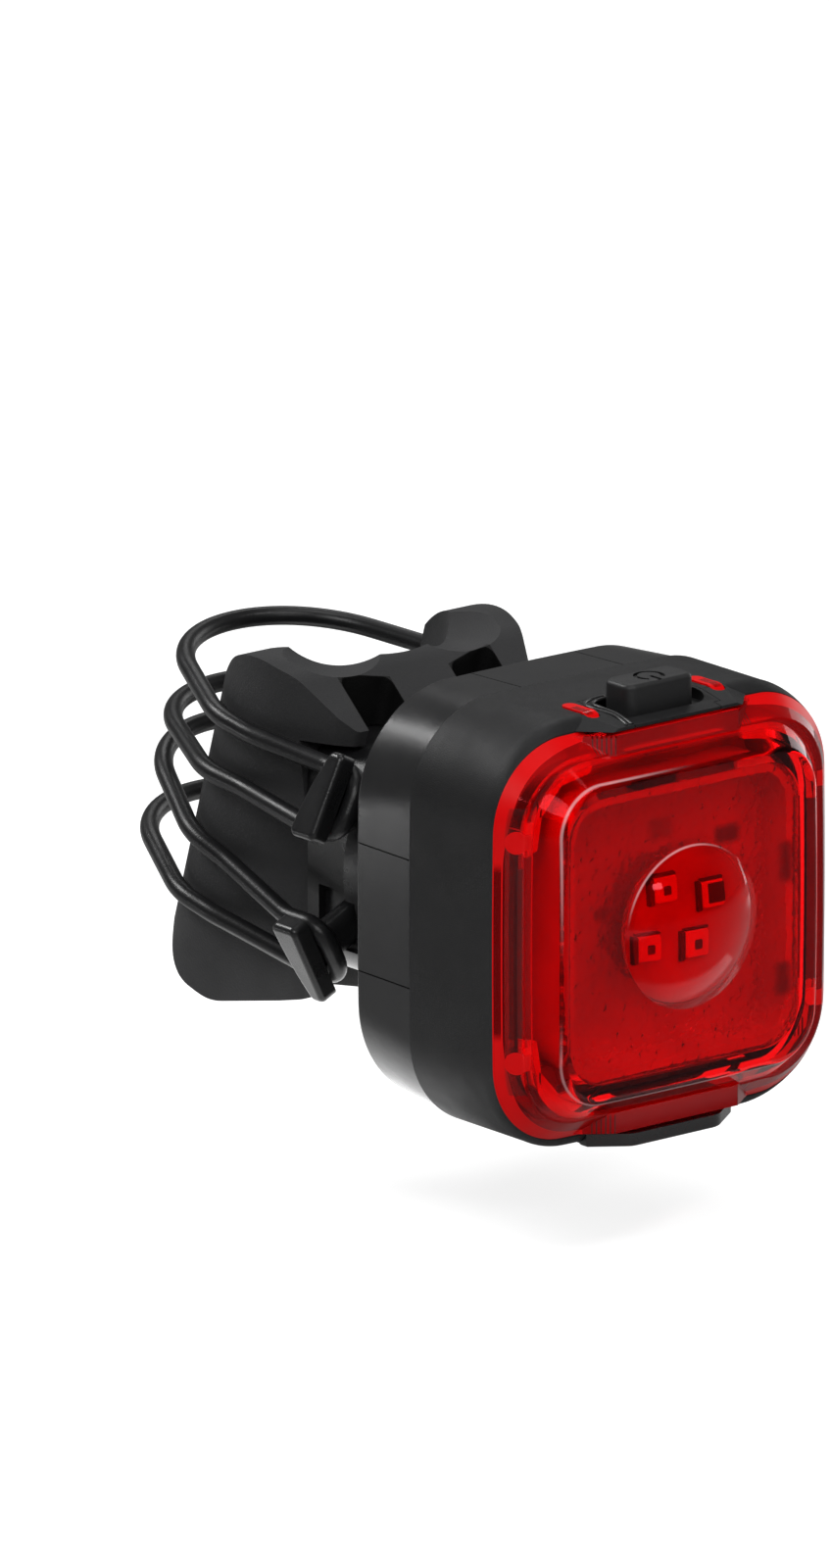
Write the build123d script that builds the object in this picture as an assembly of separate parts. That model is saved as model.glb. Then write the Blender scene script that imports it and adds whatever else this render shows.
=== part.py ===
from build123d import *
import os
from math import cos, radians, sin, tan

# A square bicycle rear light on a rubber-banded seat post mount. The lens faces -Y, +Z is up,
# and the origin is on the seat post's axis, level with the middle of the lamp.

# Seat post that the mount grips, and the lean of its axis from upright in degrees.
post_d = 27.2
post_lean = 17.0

# Lamp case. Depths are counted from the rear face towards the lens.
shell_depth = 9.9
bezel_depth = 14.5
lamp_w = 48.2
bezel_h = 49.4
shell_drop = 0.25
rear_inset = 0.3
shell_corner = 13.0
joint_corner = 11.5
side_crown = 0.35
shell_step = 0.15
rear_edge_r = 0.5
shell_wall = 1.8
side_wall = 1.8
top_wall = 2.9

# Rounded lip that the bezel has above and below the lens.
lip_depth = 2.4
lip_drop = 1.2
lip_shoulder_share = 0.3

# Tab of the bezel that reaches forward over the middle of the lens's top edge.
tab_reach = 3.2
tab_root_share = 0.56
tab_tip_share = 0.386
tab_tip_t = 0.35
tab_root_t = 1.25
tab_root_slant = 3.4
tab_tip_slant = 0.8

# Outer lens: edge wall, raised square pillow and central dome.
lens_drop = 1.4
lens_corner = 10.0
lens_edge = 2.6
lens_draw = 2.4
lens_edge_r = 0.4
lens_step_in = 0.4
lens_t = 1.6
pillow_set_w = 1.0
pillow_set_h = 0.2
pillow_slope = 2.4
pillow_rise = 2.9
pillow_corner = 8.0
pillow_top_r = 0.9
dome_d = 19.0
dome_rise = 3.2
lens_gap = 0.1
skirt_reach = 1.9
skirt_t = 1.0
skirt_open_w = 24.0
rib_count = 6
rib_pitch = 0.42
rib_w = 0.16
rib_depth = 0.3

# Ledge and posts inside the bezel, which carry the two circuit boards.
ledge_t = 0.8
ledge_w = 2.8
ledge_open_w = 21.2
board_set = 3.4
board_t = 1.0
board_clear = 0.5
post_set_w = 5.7
post_set_h = 5.2
boss_d = 4.2
boss_reach = 3.0
screw_d = 2.0
screw_head_d = 3.8
screw_head_t = 1.2
screw_bite = 2.4
screw_gap = 0.08
spacer_d = 4.0

# Light-emitting parts.
led_pitch = 5.0
led_size = 3.2
led_base_t = 0.7
led_die = 2.2
led_die_t = 0.3
side_led_size = 1.4
side_led_t = 0.7
column_d = 2.0
column_set = 2.4
column_high_set = 8.2
column_low_set = 9.4
column_gap = 0.1

# Diffuser behind the pillow, and the reflector tray behind that.
diffuser_t = 1.0
diffuser_gap = 0.2
diffuser_corner = 5.0
dome_rim = 0.9
tray_set = 2.0
tray_corner = 5.0
tray_wall = 1.0
tray_hole_d = 15.0
tray_gap = 0.1

# Power button in its surround, on top.
button_set = 1.9
button_w = 9.6
button_l = 4.8
button_rise = 2.6
button_corner = 1.2
button_edge_r = 0.6
button_travel = 0.6
flange_over = 0.6
flange_t = 0.65
well_gap_w = 1.8
well_gap_l = 0.9
recess_corner = 2.6
panel_side = 0.5
panel_neck_w = 12.4
panel_rim = 0.6
recess_depth = 1.2
surround_t = 0.65
surround_gap = 0.05
button_gap = 0.15
symbol_d = 3.6
symbol_line = 0.5
symbol_depth = 0.25
symbol_gap_deg = 40.0
symbol_turn_deg = 90.0

# Tactile switch under the button.
switch_w = 4.6
switch_t = 3.2
switch_h = 3.0
plunger_w = 2.0
plunger_t = 1.6
plunger_sink = 0.6
plunger_gap = 0.1

# Indicator windows beside the button, and their lights.
window_x = 9.07
window_set = 2.8
window_l = 5.5
window_w = 1.7
window_proud = 0.18
window_foot = 0.3
window_gap = 0.05
indicator_led_w = 1.6
indicator_led_h = 0.9
indicator_led_t = 0.7

# Charging port and the second board's chips.
usb_w = 8.94
usb_t = 3.2
usb_l = 7.35
usb_skin = 0.3
usb_tongue_t = 0.7
usb_tongue_w = 6.6
usb_tongue_back = 0.7
usb_floor = 1.2
board_gap = 0.2
chip_t = 1.0
chip_large = 7.0
chip_small = 4.0
chip_x = 9.0
chip_z = 5.0

# Rubber port cover under the lamp, hinged at its rear edge.
cover_w = 21.0
cover_t = 1.25
cover_set = 0.1
cover_gap = 0.1
cover_back_set = 3.1
pull_reach = 3.1
pull_tip_w = 12.4
pull_drop = 0.3
pull_corner_r = 2.5
pull_edge_r = 0.4
stub_gap = 0.5
stub_rise = 1.1
port_mouth_gap = 0.83
port_hole_corner = 1.4

# Battery, its foam and the rear shell's spigot, ribs and seal.
battery_gap_w = 3.4
battery_gap_h = 2.4
battery_corner = 2.0
battery_edge_r = 0.8
foam_t = 2.0
foam_set = 2.0
foam_gap = 0.1
spigot_reach = 3.5
spigot_t = 1.8
spigot_gap = 0.1
seal_w = 1.4
seal_depth = 0.6
seal_set = 1.0
seal_gap = 0.04
rib_stand = 1.5
stand_w = 2.0
stand_set = 2.5
stand_in = 5.0
seam_at = 7.4
seam_w = 0.16
seam_depth = 0.3

# Quarter-turn foot on the lamp's back.
foot_d = 34.0
foot_t = 2.2
foot_edge_r = 0.4
core_d = 18.0
core_reach = 4.9
lug_d = 24.8
lug_t = 1.6
lug_half_deg = 33.0
foot_screw_at = 4.8
foot_screw_bite = 2.6
foot_screw_head_d = 3.4

# Bracket that takes the foot, with four cleats for the bands.
turn_gap = 0.3
turn_fit = 0.08
lug_notch_deg = 38.0
drum_d = 34.0
drum_depth = 7.9
neck_d = 26.0
neck_depth = 2.4
block_w = 29.0
block_h = 26.6
block_l = 13.0
drum_in = 4.3
block_corner = 5.0
block_edge_r = 0.6
socket_floor = 2.3
side_recess_depth = 1.0
side_recess_high = -3.0
side_recess_low = -9.8
side_recess_margin = 2.0
pocket_wall_w = 3.0
pocket_wall_h = 3.3
cleat_deg = 26.0
upper_cleat_set = 3.5
lower_cleat_set = 6.8
cleat_in = 2.0
cleat_reach = 21.4
stem_w = 4.6
stem_t = 3.0
stem_r = 1.4
head_l = 10.4
head_w = 4.4
head_tip_w = 2.2
head_bulge = 0.45
head_t = 2.2
head_end_r = 0.9
head_edge_r = 0.7

# Rubber pad between the bracket and the post. Reach is counted from the post's axis
# towards the lamp, and rise along the post.
pad_wall = 3.8
pad_bed = 7.4
pad_wrap_deg = 83.0
pad_lip = 1.0
pad_tip_reach = 0.9
pad_cheek_x = 14.0
pad_cheek_out = 6.4
pad_lobe_x = 12.6
pad_nose = 8.4
pad_top = 26.2
pad_front_top = 22.2
pad_slope_out = 0.6
pad_bottom = -17.0
pad_nose_bottom = -11.7
pad_front_r = 0.9
pad_cheek_r = 2.0
pad_tip_r = 0.5
pad_crest_r = 6.0
pad_chin_r = 6.0
pad_pocket_in = 4.3
pad_pocket_out = 11.0
pad_pocket_wall_in = 2.8
pad_pocket_wall_out = 1.2
pad_pocket_r = 1.3
scoop_r = 11.0
scoop_depth = 1.8
scoop_turn_deg = 40.0
pad_bed_gap = 0.15
key_depth = 3.6
key_gap = 0.3

# Elastic bands, each a closed loop round two cleats and twice behind the post.
# The heights are along the post, where a strand crosses its back.
band_d = 2.2
band_gap = 0.12
upper_band_high = 14.5
upper_band_low = 6.4
lower_band_high = 1.4
lower_band_low = -7.8
band_turn_share = 0.98
band_turn_deg = 66.0
band_front_share = 0.34
band_wing_share = 0.52
band_leave_r = 6.0

# Places and curves of the pad's section and side that follow the post's radius.
pad_wing_share = 0.38
pad_side_share = 0.85
pad_wing_r_share = 0.8
pad_side_r_share = 1.0
pad_top_r_share = 0.8
pad_heel_share = 0.9
pad_heel_r_share = 0.59
band_side_r_share = 0.85

# Overrun for cuts that go right through, and how near a corner has to lie to be the one meant.
cut_over = 1.0
find_gap = 0.02

# Places that follow from the sizes above. The mount is stacked outwards from the post.
post_r = post_d / 2
pad_w = post_d + 2 * pad_wall
pad_tip_x = post_r + pad_lip
pad_wing_reach = post_r * pad_wing_share
pad_side_reach = post_r * pad_side_share
pad_cheek_reach = post_r + pad_cheek_out
pad_front = post_r + pad_nose
block_back = post_r + pad_bed
block_front = block_back + block_l
pocket_w = block_w - 2 * pocket_wall_w
pocket_h = block_h - 2 * pocket_wall_h
upper_cleat_back = block_front - upper_cleat_set
lower_cleat_back = block_front - lower_cleat_set
cleat_root = block_w / 2 - cleat_in
drum_y = -block_front - drum_in
foot_y = drum_y - turn_gap
core_y = foot_y + core_reach
lug_y = core_y - lug_t
socket_y = lug_y - turn_gap
socket_back = core_y + turn_gap
rear_y = foot_y - foot_t
joint_y = rear_y - shell_depth
rim_y = joint_y - bezel_depth
tab_y = rim_y - tab_reach
lens_rim_y = rim_y - lens_edge
pillow_y = lens_rim_y - pillow_rise
shell_h = bezel_h - 2 * shell_drop
bezel_top = bezel_h / 2
lens_h = bezel_h - 2 * lens_drop
lens_top = lens_h / 2
cavity_w = lamp_w - 2 * side_wall
cavity_h = bezel_h - 2 * top_wall
cavity_corner = joint_corner - side_wall
tab_root_w = lamp_w * tab_root_share
tab_tip_w = lamp_w * tab_tip_share
step_root_w = tab_root_w - 2 * lens_step_in
step_tip_w = tab_tip_w - 2 * lens_step_in
pillow_w = lamp_w - 2 * (lens_draw + pillow_set_w)
pillow_h = lens_h - 2 * (lens_draw + pillow_set_h)
field_w = pillow_w - 2 * pillow_slope
field_h = pillow_h - 2 * pillow_slope
tray_w = field_w - 2 * tray_set
tray_h = field_h - 2 * tray_set
post_x = cavity_w / 2 - post_set_w
post_z = cavity_h / 2 - post_set_h
column_x = cavity_w / 2 - column_set
column_high_z = cavity_h / 2 - column_high_set
column_low_z = column_low_set - cavity_h / 2
led_board_y = rim_y + board_set
led_board_back = led_board_y + board_t
main_board_y = led_board_back + board_gap + usb_t
main_board_back = main_board_y + board_t
wall_inner_y = rear_y - shell_wall
shell_inner_w = cavity_w - 2 * (spigot_gap + spigot_t)
shell_inner_h = cavity_h - 2 * (spigot_gap + spigot_t)
shell_inner_corner = cavity_corner - spigot_gap - spigot_t
battery_w = shell_inner_w - 2 * battery_gap_w
battery_h = shell_inner_h - 2 * battery_gap_h
battery_back = wall_inner_y - rib_stand - foam_gap
battery_front = main_board_back + foam_t + 2 * foam_gap
button_y = rim_y + button_set
button_top = bezel_top + button_rise
recess_w = button_w + 2 * well_gap_w
recess_l = button_l + 2 * well_gap_l
panel_w = recess_w + 2 * panel_side
panel_back = button_y + recess_l / 2 + panel_rim
panel_front = button_y - recess_l / 2 - panel_rim
surround_top = bezel_top - recess_depth
surround_low = surround_top - surround_t
flange_top = surround_low - button_gap
flange_low = flange_top - flange_t
usb_y = main_board_y - usb_t / 2
port_hole_w = usb_w + 2 * port_mouth_gap
port_hole_l = usb_t + 2 * port_mouth_gap
cover_floor = -bezel_top + cover_t + cover_set
cover_top = cover_floor - cover_set
cover_mid = cover_top - cover_t / 2
pull_y = rim_y - pull_reach
hinge_y = joint_y - cover_back_set
band_r = band_d / 2


def plane_at(y):
    """Upright plane at a depth, seen from the front: its x is X and its y is Z."""
    return Plane(origin=(0, y, 0), x_dir=(1, 0, 0), z_dir=(0, -1, 0))


def plate(sketch, back_y, front_y):
    """A flat outline made solid from its back face to its front face."""
    return extrude(plane_at(back_y) * sketch, amount=back_y - front_y)


def block(low, high):
    """A box from its lowest to its highest corner."""
    middle = [(a + b) / 2 for a, b in zip(low, high)]
    sizes = [b - a for a, b in zip(low, high)]
    return Pos(*middle) * Box(*sizes)


def rod(diameter, back_y, front_y, x=0, z=0):
    """A round bar along Y."""
    return plate(Pos(x, z) * Circle(diameter / 2), back_y, front_y)


def outline(width, height, corner, crown=side_crown):
    """The lamp's outline: slightly crowned sides and round corners."""
    side = width / 2 - crown
    top = height / 2 - crown
    edges = [
        ThreePointArc((-side, top), (0, height / 2), (side, top)),
        ThreePointArc((side, top), (width / 2, 0), (side, -top)),
        ThreePointArc((side, -top), (0, -height / 2), (-side, -top)),
        ThreePointArc((-side, -top), (-width / 2, 0), (-side, top)),
    ]
    face = make_face(edges)
    return fillet(face.vertices(), corner)


def near(vertices, x, y):
    """The corners of an outline that lie at a point."""
    return [v for v in vertices if abs(v.X - x) + abs(v.Y - y) < find_gap]


def in_corners(solid_at):
    """The same piece at the four screw places."""
    places = [(x, z) for x in (-post_x, post_x) for z in (-post_z, post_z)]
    return [solid_at(x, z) for x, z in places]


def bezel_form(extra=0):
    """The bezel's outer shape, with the rounded lip at its front."""
    width = lamp_w + 2 * extra
    height = bezel_h + 2 * extra
    corner = joint_corner + extra
    shoulder_y = rim_y + lip_depth
    body = plate(outline(width, height, corner), joint_y, shoulder_y)
    stations = [
        (shoulder_y, 0),
        (rim_y + lip_depth * lip_shoulder_share, lip_drop * lip_shoulder_share),
        (rim_y, lip_drop),
    ]
    sections = [plane_at(y) * outline(width, height - 2 * drop, corner - drop) for y, drop in stations]
    return body + loft(Sketch() + sections)


def tab():
    """The tab over the top edge of the lens."""
    root = tab_section(rim_y + lip_drop, tab_root_w, tab_root_t, tab_root_slant)
    tip = tab_section(tab_y, tab_tip_w, tab_tip_t, tab_tip_slant)
    return loft(Sketch() + [root, tip], ruled=True)


def tab_section(y, width, thick, slant):
    """A cross-section of the tab, narrower at its top."""
    low = lens_top + lens_gap
    half = width / 2
    top = low + thick
    return plane_at(y) * make_face(Polyline(
        (-half, low), (half, low), (half - slant, top), (slant - half, top), close=True,
    ))


def ledge():
    """Ledge that the front circuit board sits on, with its screw bosses."""
    ring = outline(cavity_w, cavity_h, cavity_corner)
    ring -= outline(cavity_w - 2 * ledge_w, cavity_h - 2 * ledge_w, cavity_corner - ledge_w)
    solid = plate(ring, led_board_y, led_board_y - ledge_t)
    notch_low = cavity_h / 2 - ledge_w - cut_over
    solid -= block(
        (-ledge_open_w / 2, led_board_y - ledge_t - cut_over, notch_low),
        (ledge_open_w / 2, led_board_y + cut_over, cavity_h / 2),
    )
    hole_d = column_d + 2 * column_gap
    for x, z in column_places():
        solid -= rod(hole_d, led_board_y + cut_over, led_board_y - ledge_t - cut_over, x, z)
    for boss in in_corners(lambda x, z: rod(boss_d, led_board_y, led_board_y - ledge_t - boss_reach, x, z)):
        solid += boss
    return solid


def column_places():
    """Where the four side lights stand."""
    return [(x, z) for x in (-column_x, column_x) for z in (column_low_z, column_high_z)]


def board_screw_hole(x, z):
    """The hole in a boss that its screw bites into."""
    depth = led_board_y - ledge_t - screw_bite
    return rod(screw_d + 2 * screw_gap, led_board_y + cut_over, depth - screw_gap, x, z)


def front_bezel():
    """Front half of the case."""
    solid = bezel_form() + tab()
    cavity = outline(cavity_w, cavity_h, cavity_corner)
    solid -= plate(cavity, joint_y + cut_over, rim_y - cut_over)
    solid += ledge()
    for hole in in_corners(board_screw_hole):
        solid -= hole
    solid -= recess_cut()
    for x in (-window_x, window_x):
        solid -= window_prism(x, window_gap, bezel_top + cut_over)
    solid -= lens_room()
    solid -= cover_recess()
    return solid


def lens_room():
    """Space in front of the rim that the lens fills, with its clearance."""
    room = outline(lamp_w + 2 * lens_gap, lens_h + 2 * lens_gap, lens_corner + lens_gap)
    return plate(room, rim_y, tab_y - cut_over)


def panel_box(extra, low, high):
    """The space of the button's panel: its well, and a narrower neck that reaches to the lens edge."""
    half = panel_w / 2 + extra
    neck = panel_neck_w / 2 + extra
    well = block((-half, panel_front - extra, low), (half, panel_back + extra, high))
    return well + block((-neck, tab_y - cut_over, low), (neck, button_y, high))


def recess_cut():
    """Opening in the top of the bezel for the button and its panel."""
    return panel_box(surround_gap, cavity_h / 2 - cut_over, bezel_top + cut_over)


def window_prism(x, extra, top):
    """A slot-shaped prism at an indicator window."""
    length = window_l + 2 * extra
    width = window_w + 2 * extra
    slot = Pos(x, rim_y + window_set) * Rot(0, 0, 90) * SlotOverall(length, width)
    low = cavity_h / 2 - window_foot - extra
    return extrude(Plane.XY.offset(low) * slot, amount=top - low)


def indicator_window(x):
    """A clear window, flush with the top of the case and a little proud."""
    return window_prism(x, 0, bezel_top + cut_over) & bezel_form(window_proud)


def outer_lens():
    """Red outer lens: edge wall, flange, pillow, dome and locating skirt."""
    edge = plane_at(rim_y) * outline(lamp_w, lens_h, lens_corner)
    narrow = plane_at(lens_rim_y) * outline(
        lamp_w - 2 * lens_draw, lens_h - 2 * lens_draw, lens_corner - lens_draw
    )
    solid = loft(Sketch() + [edge, narrow])
    front = solid.faces().sort_by(Axis.Y)[0]
    solid = fillet(front.edges(), lens_edge_r)
    solid += lens_step(1) + lens_step(-1)
    solid += pillow(pillow_w, pillow_h, lens_rim_y, pillow_y, pillow_corner)
    solid = fillet(solid.faces().sort_by(Axis.Y)[0].edges(), pillow_top_r)
    solid += dome(dome_d, dome_rise, pillow_y)
    skirt = outline(cavity_w - 2 * lens_gap, cavity_h - 2 * lens_gap, cavity_corner - lens_gap)
    skirt_ring = plate(skirt, rim_y + skirt_reach, rim_y)
    for side in (1, -1):
        skirt_ring -= block(
            (-skirt_open_w / 2, rim_y, min(0, side * cavity_h)),
            (skirt_open_w / 2, rim_y + skirt_reach + cut_over, max(0, side * cavity_h)),
        )
    solid += skirt_ring
    inner = outline(lens_inner_w(), lens_inner_h(), cavity_corner - lens_gap - skirt_t)
    solid -= plate(inner, rim_y + skirt_reach + cut_over, lens_rim_y + lens_t)
    solid -= pillow(
        pillow_w - 2 * lens_t, pillow_h - 2 * lens_t, lens_rim_y + lens_t + lens_gap, pillow_y + lens_t,
        pillow_corner - lens_t / 2,
    )
    solid -= block(
        (-panel_w / 2 - lens_gap, panel_front - lens_gap, lens_inner_h() / 2),
        (panel_w / 2 + lens_gap, rim_y + cut_over, lens_top + cut_over),
    )
    for groove in lens_ribs():
        solid -= groove
    return solid


def lens_step(side):
    """The raised middle of the lens edge, under the bezel's tab: side is 1 on top and -1 below."""
    middle = side * (lens_top - side_crown - lens_draw / 2)
    root = plane_at(rim_y) * (Pos(0, middle) * Rectangle(step_root_w, lens_draw))
    tip = plane_at(tab_y + lens_gap) * (Pos(0, middle) * Rectangle(step_tip_w, lens_draw))
    return loft(Sketch() + [root, tip], ruled=True)


def lens_inner_w():
    """Width of the space inside the lens edge."""
    return cavity_w - 2 * (lens_gap + skirt_t)


def lens_inner_h():
    """Height of the space inside the lens edge."""
    return cavity_h - 2 * (lens_gap + skirt_t)


def pillow(width, height, back_y, front_y, corner):
    """The raised square field of the lens, narrower at its front."""
    foot = plane_at(back_y) * outline(width, height, corner)
    top_w = width - 2 * pillow_slope
    top_h = height - 2 * pillow_slope
    face = plane_at(front_y) * outline(top_w, top_h, corner - pillow_slope)
    return loft(Sketch() + [foot, face])


def dome(diameter, rise, base_y):
    """A round cap on the pillow."""
    radius = (diameter ** 2 / 4 + rise ** 2) / (2 * rise)
    ball = Pos(0, base_y - rise + radius, 0) * Sphere(radius)
    return ball & rod(diameter + cut_over, base_y, base_y - rise - cut_over)


def lens_ribs():
    """Fine grooves in the top edge of the lens, beside its middle."""
    grooves = []
    for side in (-1, 1):
        for row in range(rib_count):
            x = side * (step_tip_w / 2 + row * rib_pitch)
            low = (x - rib_w / 2, tab_y - cut_over, lens_top - side_crown - rib_depth)
            high = (x + rib_w / 2, rim_y - rib_depth, lens_top + cut_over)
            grooves.append(block(low, high))
    return grooves


def diffuser_panel():
    """Textured panel behind the pillow, open behind the dome."""
    inset = 2 * (lens_t + diffuser_gap)
    front = pillow_y + lens_t + diffuser_gap
    panel = RectangleRounded(field_w - inset, field_h - inset, diffuser_corner)
    panel -= Circle(dome_d / 2 - dome_rim)
    return plate(panel, front + diffuser_t, front)


def reflector_tray():
    """Open tray that throws the light forward, with a round hole over the lights."""
    front = pillow_y + lens_t + diffuser_gap + diffuser_t + tray_gap
    back = led_board_y - tray_gap
    inner = RectangleRounded(tray_w - 2 * tray_wall, tray_h - 2 * tray_wall, tray_corner - tray_wall)
    solid = plate(RectangleRounded(tray_w, tray_h, tray_corner), back, front)
    solid -= plate(inner, back - tray_wall, front - cut_over)
    return solid - rod(tray_hole_d, back + cut_over, back - tray_wall - cut_over)


def board(front_y):
    """A circuit board that fits the case, with its screw holes."""
    sketch = outline(cavity_w - 2 * board_clear, cavity_h - 2 * board_clear, cavity_corner - board_clear)
    for hole in in_corners(lambda x, z: Pos(x, z) * Circle(screw_d / 2 + screw_gap)):
        sketch -= hole
    return plate(sketch, front_y + board_t, front_y)


def main_leds():
    """Four bright chips behind the dome."""
    chips = []
    for x in (-led_pitch / 2, led_pitch / 2):
        for z in (-led_pitch / 2, led_pitch / 2):
            base_front = led_board_y - led_base_t
            chip = plate(Pos(x, z) * Rectangle(led_size, led_size), led_board_y, base_front)
            chip += plate(Pos(x, z) * Rectangle(led_die, led_die), base_front, base_front - led_die_t)
            chips.append(chip)
    return Compound(children=chips)


def side_leds():
    """Four small chips under the light columns."""
    size = Rectangle(side_led_size, side_led_size)
    front = led_board_y - side_led_t
    return Compound(children=[plate(Pos(x, z) * size, led_board_y, front) for x, z in column_places()])


def light_columns():
    """Clear rods that carry the side lights to the lens edge."""
    back = led_board_y - side_led_t - column_gap
    front = lens_rim_y + lens_t + column_gap
    return Compound(children=[rod(column_d, back, front, x, z) for x, z in column_places()])


def indicator_leds():
    """Two small chips under the indicator windows."""
    low = cavity_h / 2 - board_clear - 2 * indicator_led_h
    front = led_board_y - indicator_led_t
    size = Rectangle(indicator_led_w, indicator_led_h)
    chips = [plate(Pos(x, low + indicator_led_h) * size, led_board_y, front) for x in (-window_x, window_x)]
    return Compound(children=chips)


def button_surround():
    """Panel round the button: a well with a soft floor, and a front that slopes to the lens."""
    form = (bezel_form() + tab()) & panel_box(-surround_gap, lens_top + lens_gap, bezel_top + cut_over)
    half = panel_w / 2 - surround_gap
    form += block(
        (-half, panel_front + surround_gap, surround_low), (half, panel_back - surround_gap, surround_top)
    )
    well = Pos(0, button_y) * RectangleRounded(recess_w, recess_l, recess_corner)
    form -= extrude(Plane.XY.offset(surround_top) * well, amount=recess_depth + cut_over)
    hole = Pos(0, button_y) * RectangleRounded(
        button_w + 2 * button_gap, button_l + 2 * button_gap, button_corner + button_gap
    )
    return form - extrude(Plane.XY.offset(surround_low - cut_over) * hole, amount=surround_t + 2 * cut_over)


def power_symbol():
    """A plain on and off sign: an open ring and a bar."""
    ring = Circle(symbol_d / 2) - Circle(symbol_d / 2 - symbol_line)
    reach = symbol_d * tan(radians(symbol_gap_deg))
    wedge = make_face(Polyline((0, 0), (symbol_d, reach), (symbol_d, -reach), close=True))
    bar = Pos(symbol_d / 4 + symbol_line / 2, 0) * Rectangle(symbol_d / 2, symbol_line)
    sketch = Pos(0, button_y) * Rot(0, 0, -symbol_turn_deg) * ((ring - wedge) + bar)
    return extrude(Plane.XY.offset(button_top - symbol_depth) * sketch, amount=symbol_depth + cut_over)


def power_button():
    """Button cap with a flange that keeps it under the surround."""
    cap_sketch = Pos(0, button_y) * RectangleRounded(button_w, button_l, button_corner)
    cap = extrude(Plane.XY.offset(flange_low) * cap_sketch, amount=button_top - flange_low)
    cap = fillet(cap.faces().sort_by(Axis.Z)[-1].edges(), button_edge_r)
    flange_sketch = Pos(0, button_y) * RectangleRounded(
        button_w + 2 * flange_over, button_l + 2 * flange_over, button_corner + flange_over
    )
    cap += extrude(Plane.XY.offset(flange_low) * flange_sketch, amount=flange_t)
    return cap - power_symbol()


def switch_top():
    """Height of the switch's housing, under the sunken plunger's shoulder."""
    return flange_low - plunger_gap - button_travel - plunger_gap


def plunger_block(extra, low):
    """The plunger's prism from a height up to the button's flange."""
    half_w = plunger_w / 2 + extra
    half_t = plunger_t / 2 + extra
    mid = button_y
    return block((-half_w, mid - half_t, low), (half_w, mid + half_t, flange_low - plunger_gap))


def switch_body():
    """Switch housing on the front board."""
    top = switch_top()
    front = led_board_y - switch_t
    solid = block((-switch_w / 2, front, top - switch_h), (switch_w / 2, led_board_y, top))
    return solid - plunger_block(plunger_gap, top - plunger_sink - button_travel - plunger_gap)


def switch_plunger():
    """Plunger that the button pushes."""
    return plunger_block(0, switch_top() - plunger_sink)


def usb_c_port():
    """Socket shell with its tongue, open downwards."""
    mouth = -cavity_h / 2
    shape = SlotOverall(usb_w, usb_t)
    inner = SlotOverall(usb_w - 2 * usb_skin, usb_t - 2 * usb_skin)
    solid = extrude(Plane.XY.offset(mouth) * (Pos(0, usb_y) * shape), amount=usb_l)
    hollow_top = mouth + usb_l - usb_floor
    solid -= extrude(
        Plane.XY.offset(mouth - cut_over) * (Pos(0, usb_y) * inner), amount=hollow_top - mouth + cut_over
    )
    tongue_low = mouth + usb_tongue_back
    half_t = usb_tongue_t / 2
    half_w = usb_tongue_w / 2
    return solid + block((-half_w, usb_y - half_t, tongue_low), (half_w, usb_y + half_t, hollow_top))


def board_chips():
    """Charging and control chips on the second board."""
    front = main_board_y - chip_t
    large = plate(Pos(-chip_x, chip_z) * Rectangle(chip_large, chip_large), main_board_y, front)
    small = plate(Pos(chip_x, chip_z) * Rectangle(chip_small, chip_small), main_board_y, front)
    middle = plate(Pos(0, chip_z) * Rectangle(chip_small, chip_large), main_board_y, front)
    return Compound(children=[large, middle, small])


def board_spacers():
    """Four sleeves between the two boards."""
    def sleeve(x, z):
        back = main_board_y
        solid = rod(spacer_d, back, led_board_back, x, z)
        return solid - rod(screw_d + 2 * screw_gap, back + cut_over, led_board_back - cut_over, x, z)
    return Compound(children=in_corners(sleeve))


def board_screws():
    """Four screws through both boards into the bezel's bosses."""
    def screw(x, z):
        tip = led_board_y - ledge_t - screw_bite
        shank = rod(screw_d, main_board_back, tip, x, z)
        head = rod(screw_head_d, main_board_back + screw_head_t, main_board_back, x, z)
        return shank + head
    return Compound(children=in_corners(screw))


def battery_cell():
    """Flat rechargeable cell."""
    sketch = RectangleRounded(battery_w, battery_h, battery_corner)
    solid = plate(sketch, battery_back, battery_front)
    ends = solid.faces().sort_by(Axis.Y)
    return fillet(ends[0].edges() + ends[-1].edges(), battery_edge_r)


def battery_foam():
    """Foam that presses the cell against the rear shell's ribs."""
    sketch = RectangleRounded(battery_w - 2 * foam_set, battery_h - 2 * foam_set, battery_corner)
    return plate(sketch, battery_front - foam_gap, main_board_back + foam_gap)


def rear_form():
    """Rear shell's outer shape, drawn in slightly towards its rear face."""
    width = lamp_w - 2 * shell_step
    joint_face = plane_at(joint_y) * outline(width, shell_h, joint_corner)
    rear_face = plane_at(rear_y) * outline(width - 2 * rear_inset, shell_h - 2 * rear_inset, shell_corner)
    solid = loft(Sketch() + [rear_face, joint_face], ruled=True)
    back = solid.faces().sort_by(Axis.Y)[-1]
    return fillet(back.edges(), rear_edge_r)


def seam_grooves():
    """Hairline seams along the depth, two on each side of the shell."""
    cuts = []
    reach = lamp_w / 2 + cut_over
    front = joint_y - cut_over
    back = rear_y + cut_over
    depth_w = lamp_w / 2 - shell_step - rear_inset - seam_depth
    depth_h = shell_h / 2 - rear_inset - seam_depth
    for offset in (-seam_at, seam_at):
        low = offset - seam_w / 2
        high = offset + seam_w / 2
        for side in (-1, 1):
            inner, outer = sorted((side * depth_w, side * reach))
            cuts.append(block((inner, front, low), (outer, back, high)))
            inner, outer = sorted((side * depth_h, side * reach))
            cuts.append(block((low, front, inner), (high, back, outer)))
    return cuts


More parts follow.
